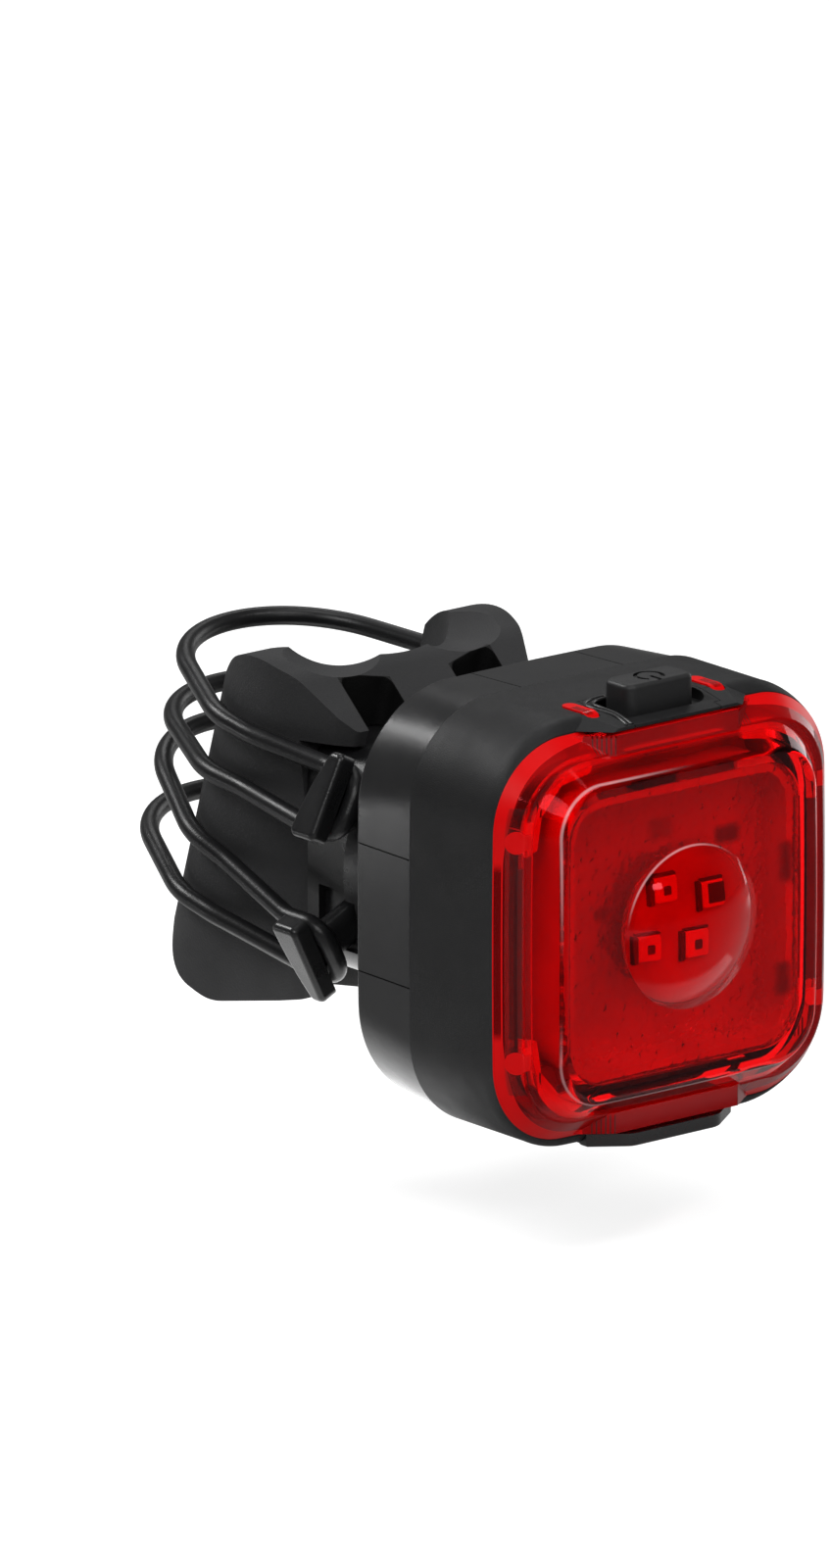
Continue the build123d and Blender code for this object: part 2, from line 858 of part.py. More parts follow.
def spigot():
    """Ring of the rear shell that reaches into the bezel, with its seal groove."""
    width = cavity_w - 2 * spigot_gap
    height = cavity_h - 2 * spigot_gap
    corner = cavity_corner - spigot_gap
    ring = outline(width, height, corner)
    solid = plate(ring, joint_y + shell_wall, joint_y - spigot_reach)
    groove_front = joint_y - seal_set - seal_w
    return solid - seal_ring(joint_y - seal_set, groove_front, cut_over, 0)


def seal_ring(back, front, outer_extra, inner_gap):
    """A square ring in the seal groove."""
    width = cavity_w + 2 * outer_extra
    height = cavity_h + 2 * outer_extra
    corner = cavity_corner + outer_extra
    inset = spigot_gap + seal_depth - inner_gap
    ring = outline(width, height, corner)
    ring -= outline(cavity_w - 2 * inset, cavity_h - 2 * inset, cavity_corner - inset)
    return plate(ring, back, front)


def housing_seal():
    """Rubber seal between the two halves of the case."""
    back = joint_y - seal_set - seal_gap
    front = joint_y - seal_set - seal_w + seal_gap
    return seal_ring(back, front, -seal_gap, seal_gap)


def foot_screw_places():
    """Where four small screws hold the foot."""
    return [(x, z) for x in (-foot_screw_at, foot_screw_at) for z in (-foot_screw_at, foot_screw_at)]


def rear_housing():
    """Rear half of the case."""
    solid = rear_form() + spigot()
    inner = outline(shell_inner_w, shell_inner_h, shell_inner_corner)
    solid -= plate(inner, wall_inner_y, joint_y - spigot_reach - cut_over)
    stand_x = battery_w / 2 - stand_in
    stand = Rectangle(stand_w, battery_h - 2 * stand_set)
    for x in (-stand_x, stand_x):
        solid += plate(Pos(x, 0) * stand, wall_inner_y, wall_inner_y - rib_stand)
    for x, z in foot_screw_places():
        solid -= rod(screw_d + 2 * screw_gap, rear_y + cut_over, wall_inner_y - cut_over, x, z)
    for cut in seam_grooves():
        solid -= cut
    return solid


def cover_recess():
    """Shallow bed for the port cover, and the hole for the port."""
    half_w = cover_w / 2 + cover_gap
    back = hinge_y + cover_t / 2 + cover_gap
    bed = block((-half_w, tab_y - cut_over, -bezel_top - cut_over), (half_w, back, cover_floor))
    hole = Pos(0, usb_y) * RectangleRounded(port_hole_w, port_hole_l, port_hole_corner)
    top = -cavity_h / 2 + cut_over
    return bed + extrude(Plane.XY.offset(cover_floor - cut_over) * hole, amount=top - cover_floor + cut_over)


def port_cover():
    """Rubber cover with its pull lip, plug and rounded hinge edge."""
    half_w = cover_w / 2
    half_tip = pull_tip_w / 2
    low = cover_top - cover_t
    flap = block((-half_w, rim_y, low), (half_w, hinge_y, cover_top))
    hinge_edge = Pos(0, hinge_y, cover_mid) * Rot(0, 90, 0) * Cylinder(cover_t / 2, cover_w)
    plan = make_face(Polyline(
        (-half_w, rim_y + cover_t), (-half_w, rim_y), (-half_tip, pull_y),
        (half_tip, pull_y), (half_w, rim_y), (half_w, rim_y + cover_t), close=True,
    ))
    tips = near(plan.vertices(), -half_tip, pull_y) + near(plan.vertices(), half_tip, pull_y)
    plan = fillet(tips, pull_corner_r)
    lip = extrude(Plane.XY.offset(low - pull_drop) * plan, amount=cover_t + pull_drop)
    lip = fillet(lip.faces().sort_by(Axis.Z)[0].edges(), pull_edge_r)
    stub = Pos(0, usb_y) * RectangleRounded(
        port_hole_w - 2 * stub_gap, port_hole_l - 2 * stub_gap, port_hole_corner
    )
    plug = extrude(Plane.XY.offset(cover_top) * stub, amount=stub_rise)
    return flap + hinge_edge + lip + plug


def sector(diameter, half_deg, turned):
    """A round sector, its middle turned from the X axis by an angle."""
    reach = diameter
    side = reach * tan(radians(half_deg))
    wedge = make_face(Polyline((0, 0), (reach, side), (reach, -side), close=True))
    other = make_face(Polyline((0, 0), (-reach, side), (-reach, -side), close=True))
    return Rot(0, 0, turned) * ((wedge + other) & Circle(diameter / 2))


def twist_foot():
    """Round foot on the lamp's back, with two lugs that lock behind the bracket's lip."""
    disc = rod(foot_d, foot_y, rear_y)
    disc = fillet(disc.faces().sort_by(Axis.Y)[-1].edges(), foot_edge_r)
    solid = disc + rod(core_d, core_y, rear_y)
    solid += plate(sector(lug_d, lug_half_deg, 0), core_y, lug_y)
    for x, z in foot_screw_places():
        solid -= rod(screw_d + 2 * screw_gap, foot_y + foot_screw_bite + screw_gap, rear_y - cut_over, x, z)
    return solid


def foot_screws():
    """Four screws from inside the lamp into the foot."""
    screws = []
    for x, z in foot_screw_places():
        shank = rod(screw_d, foot_y + foot_screw_bite, wall_inner_y, x, z)
        head = rod(foot_screw_head_d, wall_inner_y, wall_inner_y - screw_head_t, x, z)
        screws.append(shank + head)
    return Compound(children=screws)


def cleat_frame(angle, back):
    """Place of a cleat: x runs outwards from the drum's axis, y along its head, z to the rear."""
    outward = (cos(radians(angle)), 0, sin(radians(angle)))
    return Plane(origin=(0, -back, 0), x_dir=outward, z_dir=(0, 1, 0))


def cleat(angle, back):
    """A stem with a cross head that the bands hook round."""
    frame = cleat_frame(angle, back)
    length = cleat_reach + head_t / 2 - cleat_root
    stem_sketch = RectangleRounded(stem_t, stem_w, stem_r)
    stem_plane = Plane(origin=frame.from_local_coords((cleat_root, 0, 0)), x_dir=(0, 1, 0), z_dir=frame.x_dir)
    stem = extrude(stem_plane * stem_sketch, amount=length)
    tip_y = -head_l / 2 if angle > 0 else head_l / 2
    root_z = head_w / 2
    tip_z = head_tip_w - head_w / 2
    side = ThreePointArc((-tip_y, root_z), (0, (root_z + tip_z) / 2 + head_bulge), (tip_y, tip_z))
    ends = Polyline(side @ 1, (tip_y, -root_z), (-tip_y, -root_z), side @ 0)
    head = extrude(Plane.YZ.offset(cleat_reach) * make_face([side] + ends.edges()), amount=head_t)
    head = fillet(head.edges().filter_by(Axis.X), head_end_r)
    head = fillet(head.faces().sort_by(Axis.X)[-1].edges(), head_edge_r)
    return stem + frame * head


def bracket():
    """Bracket with the twist socket in front and four cleats at its sides."""
    neck_y = drum_y + drum_depth
    wide = plane_at(neck_y) * Circle(drum_d / 2)
    narrow = plane_at(neck_y + neck_depth) * Circle(neck_d / 2)
    solid = rod(drum_d, neck_y, drum_y) + loft(Sketch() + [wide, narrow])
    body_sketch = RectangleRounded(block_w, block_h, block_corner)
    body = plate(body_sketch, -block_back, -block_front)
    body = fillet(body.faces().sort_by(Axis.Y)[0].edges(), block_edge_r)
    solid += body
    for side in (-1, 1):
        inner, outer = sorted((side * (block_w / 2 - side_recess_depth), side * block_w))
        solid -= block(
            (inner, -block_front + side_recess_margin, side_recess_low),
            (outer, -block_back - side_recess_margin, side_recess_high),
        )
    pocket = RectangleRounded(pocket_w, pocket_h, block_corner / 2)
    solid -= plate(pocket, -block_back + cut_over, socket_back + socket_floor)
    for angle, back in ((cleat_deg, upper_cleat_back), (-cleat_deg, lower_cleat_back)):
        post = cleat(angle, back)
        solid += post
        solid += mirror(post, about=Plane.YZ)
    cavity = rod(lug_d + 2 * turn_gap, socket_back, socket_y)
    bore = rod(core_d + 2 * turn_fit, socket_back, drum_y - cut_over)
    notch = plate(sector(lug_d + 2 * turn_gap, lug_notch_deg, 90), socket_y, drum_y - cut_over)
    return solid - cavity - bore - notch


def post_side(reach, x):
    """A point of the pad's cross-section, in the post's own frame."""
    return (x, -reach)


def pad_outline():
    """The pad's cross-section, square to the post."""
    wrap = radians(pad_wrap_deg)
    half = pad_w / 2
    inner_tip = (post_r * sin(wrap), post_r * cos(wrap))
    corners = [
        (pad_tip_x, pad_tip_reach, pad_tip_r),
        (half, pad_wing_reach, post_r * pad_wing_r_share),
        (half, pad_side_reach, post_r * pad_side_r_share),
        (pad_cheek_x, pad_cheek_reach, pad_cheek_r),
        (pad_lobe_x, pad_front, pad_front_r),
    ]
    right = [post_side(reach, x) for x, reach, radius in corners]
    left = [post_side(reach, -x) for x, reach, radius in corners]
    arc = ThreePointArc(
        post_side(inner_tip[1], -inner_tip[0]), post_side(post_r, 0), post_side(inner_tip[1], inner_tip[0])
    )
    rest = Polyline(arc @ 1, *right, *left[::-1], arc @ 0)
    face = make_face([arc] + rest.edges())
    for x, reach, radius in corners:
        for side in (-1, 1):
            face = fillet(near(face.vertices(), side * x, -reach), radius)
    return face


def pad_side_view():
    """The pad seen from its side: x is reach and y is rise."""
    rear = pad_tip_reach - pad_tip_r
    front = pad_front + cut_over
    corners = [
        (rear, pad_top, post_r * pad_top_r_share),
        (post_r + pad_slope_out, pad_top, pad_crest_r),
        (front, pad_front_top, 0),
        (front, pad_nose_bottom, 0),
        (post_r * pad_heel_share, pad_bottom, pad_chin_r),
        (rear, pad_bottom, post_r * pad_heel_r_share),
    ]
    face = make_face(Polyline(*[(x, y) for x, y, radius in corners], close=True))
    for x, y, radius in corners:
        if radius:
            face = fillet(near(face.vertices(), x, y), radius)
    return face


def pad_pocket(side):
    """A slot along the pad, open towards the lamp."""
    near_in = post_r + pad_pocket_wall_in
    near_out = post_r + pad_pocket_wall_out
    face = make_face(Polyline(
        post_side(near_in, side * pad_pocket_in),
        post_side(near_out, side * pad_pocket_out),
        post_side(pad_front + cut_over, side * pad_pocket_out),
        post_side(pad_front + cut_over, side * pad_pocket_in),
        close=True,
    ))
    inner = near(face.vertices(), side * pad_pocket_in, -near_in)
    outer = near(face.vertices(), side * pad_pocket_out, -near_out)
    return fillet(inner + outer, pad_pocket_r)


def post_pad():
    """Rubber pad, hollowed to the post and keyed into the bracket."""
    length = pad_top - pad_bottom + 2 * cut_over
    start = Plane.XY.offset(pad_bottom - cut_over)
    solid = extrude(start * pad_outline(), amount=length)
    side_plane = Plane(origin=(pad_w, 0, 0), x_dir=(0, -1, 0), z_dir=(-1, 0, 0))
    solid &= extrude(side_plane * pad_side_view(), amount=2 * pad_w)
    turn = radians(scoop_turn_deg)
    for side in (-1, 1):
        solid -= extrude(start * pad_pocket(side), amount=length)
        scoop_at = (side * post_r * sin(turn), -post_r * cos(turn), pad_top - scoop_depth + scoop_r)
        solid -= Pos(*scoop_at) * Sphere(scoop_r)
    solid = Rot(post_lean, 0, 0) * solid
    half_h = block_h / 2 + pad_bed_gap
    bed_y = -block_back + pad_bed_gap
    solid -= block((-pad_w, rear_y, -half_h), (pad_w, bed_y, half_h))
    key = RectangleRounded(pocket_w - 2 * key_gap, pocket_h - 2 * key_gap, block_corner / 2)
    return solid + plate(key, bed_y + pad_bed_gap, bed_y - key_depth)


def post_point(x, reach, rise):
    """A point of the post's own frame in the part's frame."""
    lean = radians(post_lean)
    return Vector(x, -reach * cos(lean) - rise * sin(lean), rise * cos(lean) - reach * sin(lean))


def rise_of(point):
    """How far a point lies along the post."""
    lean = radians(post_lean)
    return point.Z * cos(lean) - point.Y * sin(lean)


def band_half(angle, back, high, low):
    """Right half of a band: from behind the post, round a cleat and back again."""
    loop_r = cleat_reach - band_gap - band_r
    frame = cleat_frame(angle, back)
    aside = stem_w / 2 + band_gap + band_r
    ahead = stem_t / 2 + band_gap + band_r
    past = head_w / 2 + band_gap + band_r
    ring_r = post_r + band_gap + band_r
    corner_x = ring_r * band_turn_share * tan(radians(band_turn_deg / 2))
    side_x = pad_w / 2 + band_gap + band_r
    strands = []
    for sign, rise in ((1, high), (-1, low)):
        hook = frame.from_local_coords(Vector(loop_r, -sign * aside, -ahead))
        leave = frame.from_local_coords(Vector(loop_r, -sign * aside, past))
        start_rise = rise_of(leave)
        front = post_point(side_x, pad_side_reach, start_rise + (rise - start_rise) * band_front_share)
        wing = post_point(side_x, pad_wing_reach, start_rise + (rise - start_rise) * band_wing_share)
        turn = post_point(corner_x, -ring_r, rise)
        end = post_point(0, -ring_r, rise)
        strands.append([end, turn, wing, front, leave, hook])
    points = strands[0] + strands[1][::-1]
    hook_r = stem_r + band_gap + band_r
    back_r = ring_r * band_turn_share
    side_r = ring_r * band_side_r_share
    radii = [back_r, side_r, side_r, band_leave_r, hook_r]
    path = FilletPolyline(*points, radius=radii + radii[::-1])
    return sweep(Plane(path @ 0, z_dir=path % 0) * Circle(band_r), path=path)


def band(angle, back, high, low):
    """A whole band, the same on both sides."""
    half = band_half(angle, back, high, low)
    return half + mirror(half, about=Plane.YZ)


nodes = {
    "front_bezel": front_bezel(),
    "rear_housing": rear_housing(),
    "outer_lens": outer_lens(),
    "diffuser_panel": diffuser_panel(),
    "reflector_tray": reflector_tray(),
    "led_board": board(led_board_y),
    "main_leds": main_leds(),
    "side_leds": side_leds(),
    "light_columns": light_columns(),
    "indicator_leds": indicator_leds(),
    "left_indicator_window": indicator_window(-window_x),
    "right_indicator_window": indicator_window(window_x),
    "button_surround": button_surround(),
    "power_button": power_button(),
    "switch_body": switch_body(),
    "switch_plunger": switch_plunger(),
    "main_board": board(main_board_y),
    "board_chips": board_chips(),
    "usb_c_port": usb_c_port(),
    "board_spacers": board_spacers(),
    "board_screws": board_screws(),
    "battery_cell": battery_cell(),
    "battery_foam": battery_foam(),
    "housing_seal": housing_seal(),
    "port_cover": port_cover(),
    "twist_foot": twist_foot(),
    "foot_screws": foot_screws(),
    "bracket": bracket(),
    "post_pad": post_pad(),
    "upper_band": band(cleat_deg, upper_cleat_back, upper_band_high, upper_band_low),
    "lower_band": band(-cleat_deg, lower_cleat_back, lower_band_high, lower_band_low),
}

os.makedirs("parts", exist_ok=True)
for name, shape in nodes.items():
    export_step(shape, f"parts/{name}.step")
    print(name, round(shape.volume, 1))
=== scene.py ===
import bpy
from math import cos, pi, radians, sin
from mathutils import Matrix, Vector


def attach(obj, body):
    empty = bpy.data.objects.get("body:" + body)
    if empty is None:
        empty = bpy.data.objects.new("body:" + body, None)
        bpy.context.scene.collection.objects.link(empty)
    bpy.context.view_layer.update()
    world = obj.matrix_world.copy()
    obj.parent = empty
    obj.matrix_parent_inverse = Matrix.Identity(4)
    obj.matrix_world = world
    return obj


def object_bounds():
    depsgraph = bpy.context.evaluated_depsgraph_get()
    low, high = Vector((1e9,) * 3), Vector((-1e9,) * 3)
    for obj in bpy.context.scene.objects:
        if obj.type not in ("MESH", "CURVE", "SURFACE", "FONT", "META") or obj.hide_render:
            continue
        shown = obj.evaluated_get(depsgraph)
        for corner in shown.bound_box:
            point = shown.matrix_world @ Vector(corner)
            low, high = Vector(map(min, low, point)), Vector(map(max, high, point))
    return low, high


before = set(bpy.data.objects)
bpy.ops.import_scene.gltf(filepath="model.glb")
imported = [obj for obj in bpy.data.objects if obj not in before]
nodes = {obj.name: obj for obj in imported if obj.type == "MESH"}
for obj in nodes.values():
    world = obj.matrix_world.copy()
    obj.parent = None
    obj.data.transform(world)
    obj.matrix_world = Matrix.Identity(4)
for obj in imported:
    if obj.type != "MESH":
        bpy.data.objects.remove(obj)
cad_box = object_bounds()

mm = 0.001
# Places on the part that several masks share, in millimetres of the shared frame
post_lean = radians(17)
button_y = -63.3
lens_foot = -65.2
pin_y = -67.1
pin_z = 12.7
# The part of its range in which a noise texture mostly stays
texture_low, texture_high = 0.3, 0.7


# Node helpers
def new_material(name):
    """A material with a Principled shader."""
    material = bpy.data.materials.new(name)
    material.use_nodes = True
    tree = material.node_tree
    tree.nodes.clear()
    output = tree.nodes.new("ShaderNodeOutputMaterial")
    shader = tree.nodes.new("ShaderNodeBsdfPrincipled")
    tree.links.new(shader.outputs[0], output.inputs["Surface"])
    return material, tree, shader


def surface_of(tree):
    """The material's surface socket, and what is linked to it."""
    output = next(node for node in tree.nodes if node.type == "OUTPUT_MATERIAL")
    surface = output.inputs["Surface"]
    return surface, surface.links[0].from_socket


def cover_surface(tree, share, shader):
    """Puts another shader over the surface, as far as share goes."""
    surface, before = surface_of(tree)
    mix = tree.nodes.new("ShaderNodeMixShader")
    tree.links.new(share, mix.inputs["Fac"])
    tree.links.new(before, mix.inputs[1])
    tree.links.new(shader.outputs[0], mix.inputs[2])
    tree.links.new(mix.outputs[0], surface)


def add_glow(tree, strength):
    """Adds white light to the surface."""
    surface, before = surface_of(tree)
    glow = tree.nodes.new("ShaderNodeEmission")
    both = tree.nodes.new("ShaderNodeAddShader")
    tree.links.new(strength, glow.inputs["Strength"])
    tree.links.new(before, both.inputs[0])
    tree.links.new(glow.outputs[0], both.inputs[1])
    tree.links.new(both.outputs[0], surface)


def noise(tree, scale, detail=3):
    place = tree.nodes.new("ShaderNodeTexCoord")
    texture = tree.nodes.new("ShaderNodeTexNoise")
    texture.inputs["Scale"].default_value = scale
    texture.inputs["Detail"].default_value = detail
    tree.links.new(place.outputs["Object"], texture.inputs["Vector"])
    return texture.outputs["Fac"]


def map_range(tree, value, start, end, low=0, high=1, curve="LINEAR"):
    node = tree.nodes.new("ShaderNodeMapRange")
    node.interpolation_type = curve
    limits = {"From Min": start, "From Max": end, "To Min": low, "To Max": high}
    for name, number in limits.items():
        node.inputs[name].default_value = number
    tree.links.new(value, node.inputs["Value"])
    return node.outputs[0]


def spread(tree, texture, low, high):
    """A texture's value, mapped to low..high."""
    return map_range(tree, texture, texture_low, texture_high, low, high)


def rise(tree, value, start, end):
    """Smooth 0 to 1 while a value goes from start to end."""
    return map_range(tree, value, start, end, curve="SMOOTHSTEP")


def two_tones(tree, texture, dark, light):
    """A colour that wanders between two tones."""
    node = tree.nodes.new("ShaderNodeValToRGB")
    stops = zip(node.color_ramp.elements, (texture_low, texture_high), (dark, light))
    for stop, place, colour in stops:
        stop.position = place
        stop.color = (*colour, 1)
    tree.links.new(texture, node.inputs[0])
    return node.outputs[0]


def bump(tree, shader, height, depth):
    """Gives a shader the relief of a texture, some millimetres deep."""
    node = tree.nodes.new("ShaderNodeBump")
    node.inputs["Distance"].default_value = depth * mm
    tree.links.new(height, node.inputs["Height"])
    tree.links.new(node.outputs[0], shader.inputs["Normal"])


def maths(tree, operation, first, *others, clamp=False):
    """A sum on node values or plain numbers, worked out from left to right."""
    total = first
    for other in others or (0,):
        node = tree.nodes.new("ShaderNodeMath")
        node.operation = operation
        node.use_clamp = clamp
        for slot, value in zip(node.inputs, (total, other)):
            if isinstance(value, (int, float)):
                slot.default_value = value
            else:
                tree.links.new(value, slot)
        total = node.outputs[0]
    return total


def apart(tree, value, middle=0):
    """How far a value is from another, either way."""
    return maths(tree, "ABSOLUTE", maths(tree, "SUBTRACT", value, middle))


def past(tree, value, limit):
    """How far a value is above a limit, and 0 below it."""
    return maths(tree, "MAXIMUM", maths(tree, "SUBTRACT", value, limit), 0)


def hypotenuse(tree, first, second):
    squares = [maths(tree, "MULTIPLY", value, value) for value in (first, second)]
    return maths(tree, "SQRT", maths(tree, "ADD", *squares))


def axes(tree):
    """X, Y and Z of the shaded point, in millimetres of the shared frame."""
    place = tree.nodes.new("ShaderNodeTexCoord")
    parts = tree.nodes.new("ShaderNodeSeparateXYZ")
    tree.links.new(place.outputs["Object"], parts.inputs[0])
    return [maths(tree, "DIVIDE", part, mm) for part in parts.outputs]


def strip(tree, value, half, middle=0, soft=0.1):
    """A mask that is 1 in a strip of one coordinate."""
    return rise(tree, apart(tree, value, middle), half + soft, half - soft)


def within(tree, x, y, half_x, half_y, middle_x=0, middle_y=0, soft=0.1):
    """A mask that is 1 in a rectangle of two coordinates."""
    across = strip(tree, x, half_x, middle_x, soft)
    return maths(tree, "MULTIPLY", across, strip(tree, y, half_y, middle_y, soft))


def outside(tree, mask):
    """Keeps a mask to outer faces, so that it isn't seen from within clear plastic."""
    geometry = tree.nodes.new("ShaderNodeNewGeometry")
    return maths(tree, "MULTIPLY", mask, maths(tree, "SUBTRACT", 1, geometry.outputs["Backfacing"]))


def grey(level, more_blue=0.0005):
    return level, level, level + more_blue


def dimmed(colour, share):
    return tuple(share * c for c in colour)


# Opaque materials
def plastic(name, dark, light, rough, grain, depth, gloss, blotch=60):
    """Moulded plastic or rubber: two close tones, uneven gloss and a fine grain."""
    material, tree, shader = new_material(name)
    tree.links.new(two_tones(tree, noise(tree, blotch, 4), dark, light), shader.inputs["Base Color"])
    tree.links.new(spread(tree, noise(tree, 4 * blotch), *rough), shader.inputs["Roughness"])
    bump(tree, shader, noise(tree, grain, 2), depth)
    shader.inputs["Specular IOR Level"].default_value = gloss
    return material


def metal(name, colour, rough):
    material, tree, shader = new_material(name)
    shader.inputs["Metallic"].default_value = 1
    tone = two_tones(tree, noise(tree, 900), dimmed(colour, 0.85), colour)
    tree.links.new(tone, shader.inputs["Base Color"])
    tree.links.new(spread(tree, noise(tree, 2600, 2), *rough), shader.inputs["Roughness"])
    bump(tree, shader, noise(tree, 5200, 2), 0.01)
    return material


def light_die(name, dark, light, rough):
    """A light chip: pale die with a warm phosphor tone."""
    material, tree, shader = new_material(name)
    texture = noise(tree, 2400, 2)
    tree.links.new(two_tones(tree, texture, dark, light), shader.inputs["Base Color"])
    tree.links.new(spread(tree, texture, *rough), shader.inputs["Roughness"])
    return material


def tint_where(material, mask_of, colour):
    """Gives a plastic another colour where the mask is 1."""
    tree = material.node_tree
    shader = next(node for node in tree.nodes if node.type == "BSDF_PRINCIPLED")
    base = shader.inputs["Base Color"]
    before = base.links[0].from_socket
    mix = tree.nodes.new("ShaderNodeMix")
    mix.data_type = "RGBA"
    first, second, result = mix.inputs[6], mix.inputs[7], mix.outputs[2]
    tree.links.new(mask_of(tree), mix.inputs["Factor"])
    tree.links.new(before, first)
    second.default_value = (*colour, 1)
    tree.links.new(result, base)


# Each row: dark tone, light tone, roughness from and to, grain (per metre), its depth in millimetres,
# gloss, and the scale of the blotches where it isn't the usual one
plastics = {
    "bezel_soft_touch": (grey(0.0085), grey(0.0125), (0.44, 0.54), 9000, 0.03, 0.16),
    "shell_satin": (grey(0.0165), grey(0.0215), (0.2, 0.26), 7000, 0.01, 0.2),
    "pad_rubber_matt": (grey(0.02, 0.001), grey(0.029, 0.001), (0.58, 0.72), 4200, 0.04, 0.25),
    "bracket_gloss": (grey(0.007), grey(0.011), (0.24, 0.36), 5200, 0.015, 0.28),
    "band_rubber_smooth": (grey(0.005), grey(0.009), (0.3, 0.4), 3600, 0.02, 0.25),
    "well_rubber": (grey(0.008), grey(0.0115), (0.44, 0.54), 9000, 0.02, 0.16),
    "button_rubber": (grey(0.01), grey(0.015), (0.4, 0.5), 7600, 0.02, 0.25),
    "bead_rubber": (grey(0.011), grey(0.015), (0.3, 0.36), 9000, 0.01, 0.5),
    "cover_rubber": (grey(0.007), grey(0.01), (0.24, 0.34), 5200, 0.015, 0.45),
    "chip_black": (grey(0.012, 0), grey(0.02, 0), (0.4, 0.5), 5000, 0.02, 0.4),
    "foam_grey": (grey(0.03, 0), grey(0.06, 0), (0.85, 0.95), 2600, 0.3, 0.2),
    "cell_film": ((0.03, 0.07, 0.22), (0.04, 0.09, 0.27), (0.25, 0.35), 900, 0.04, 0.5),
    "nylon_pale": ((0.6, 0.6, 0.58), (0.7, 0.7, 0.68), (0.3, 0.4), 3000, 0.02, 0.5),
    "column_milky": ((0.8, 0.74, 0.74), (0.9, 0.84, 0.84), (0.2, 0.3), 900, 0.01, 0.5),
    "board_mask": ((0.3, 0.26, 0.26), (0.42, 0.38, 0.38), (0.35, 0.5), 2500, 0.03, 0.5, 140),
    "tray_white": ((0.46, 0.4, 0.4), (0.62, 0.56, 0.56), (0.28, 0.4), 1200, 0.05, 0.5, 120),
    "led_carrier": ((0.28, 0.23, 0.23), (0.4, 0.34, 0.34), (0.35, 0.5), 1500, 0.03, 0.4, 200),
    "led_body": ((0.52, 0.46, 0.46), (0.68, 0.6, 0.6), (0.3, 0.4), 2500, 0.01, 0.4, 400),
    "lens_catch": ((0.62, 0.54, 0.54), (0.8, 0.72, 0.72), (0.2, 0.3), 900, 0.01, 0.5, 220),
}
skins = {name: plastic(name, *row) for name, row in plastics.items()}
skins["steel_satin"] = metal("steel_satin", (0.55, 0.55, 0.56), (0.26, 0.38))
skins["led_die_warm"] = light_die("led_die_warm", (0.3, 0.2, 0.1), (0.42, 0.3, 0.16), (0.2, 0.35))


def bezel_inside_glow(tree):
    """The inside of the bezel, a rounded square, which shows through the lens; painted paler as a painted
    glow from the lamp.
    """
    x, y, z = axes(tree)
    corner_x = past(tree, apart(tree, x), 12.6)
    corner_z = past(tree, apart(tree, z), 12.1)
    inside = rise(tree, hypotenuse(tree, corner_x, corner_z), 9.85, 9.8)
    return maths(tree, "MULTIPLY", inside, rise(tree, y, -60, -60.2))


# Painted shade: the inside of the button's well, painted near black
def well_shade(tree):
    x, y, z = axes(tree)
    return within(tree, x, y, 6.7, 3.4, 0, button_y)


def sign_groove_shade(tree):
    """The sunken lines of the button's sign, painted near black as painted shade in the grooves."""
    x, y, z = axes(tree)
    middle = within(tree, x, y, 2, 2, 0, button_y)
    return maths(tree, "MULTIPLY", middle, rise(tree, z, 27.23, 27.18), rise(tree, z, 27, 27.01))


def pad_slot_shade(tree):
    """The two slots of the pad, which leans with the post. Their floors slant. They are painted near black as
    painted shade.
    """
    x, y, z = axes(tree)
    aside = apart(tree, x)
    square_to_post = maths(
        tree, "ADD", maths(tree, "MULTIPLY", y, cos(post_lean)), maths(tree, "MULTIPLY", z, sin(post_lean)))
    floor_slope = 0.239
    past_floor = maths(tree, "SUBTRACT", square_to_post, maths(tree, "MULTIPLY", aside, floor_slope))
    across = strip(tree, aside, 3.4, 7.65, 0.04)
    return maths(tree, "MULTIPLY", across, rise(tree, past_floor, -17.3, -17.4))


# Near black, used for painted shade in hollows
shade_black = grey(0.0008, 0)
# The bezel's inside is painted paler: a painted glow that shows red through the lens
tint_where(skins["bezel_soft_touch"], bezel_inside_glow, (0.16, 0.13, 0.13))
# The button's well is painted near black, as painted shade in the recess
tint_where(skins["well_rubber"], well_shade, shade_black)
# The sign's sunken lines are painted near black, as painted shade
tint_where(skins["button_rubber"], sign_groove_shade, shade_black)
# The pad's slots are painted near black, as painted shade
tint_where(skins["pad_rubber_matt"], pad_slot_shade, grey(0.0015, 0))


# Clear red materials
def red_plastic(name, colour, tint, rough, grain, depth):
    """Clear red plastic. Light from the lamps passes through it, tinted, onto what is behind it."""
    material, tree, shader = new_material(name)
    tone = two_tones(tree, noise(tree, 70), dimmed(colour, 0.9), colour)
    tree.links.new(tone, shader.inputs["Base Color"])
    tree.links.new(spread(tree, noise(tree, 500, 2), rough, rough + 0.03), shader.inputs["Roughness"])
    shader.inputs["Transmission Weight"].default_value = 1
    shader.inputs["IOR"].default_value = 1.42
    shader.inputs["Specular Tint"].default_value = (0.8, 0.1, 0.12, 1)
    bump(tree, shader, noise(tree, grain, 2), depth)
    clear = tree.nodes.new("ShaderNodeBsdfTransparent")
    clear.inputs["Color"].default_value = (*tint, 1)
    path = tree.nodes.new("ShaderNodeLightPath")
    cover_surface(tree, path.outputs["Is Shadow Ray"], clear)
    return material


def add_body(material, mask_of, colour, rough, gloss=0.25):
    """Makes some places of a clear plastic opaque: their mask is 1 where it is fully so."""
    tree = material.node_tree
    body = tree.nodes.new("ShaderNodeBsdfPrincipled")
    tone = two_tones(tree, noise(tree, 160), dimmed(colour, 0.9), colour)
    tree.links.new(tone, body.inputs["Base Color"])
    body.inputs["Roughness"].default_value = rough
    body.inputs["Specular IOR Level"].default_value = gloss
    cover_surface(tree, mask_of(tree), body)


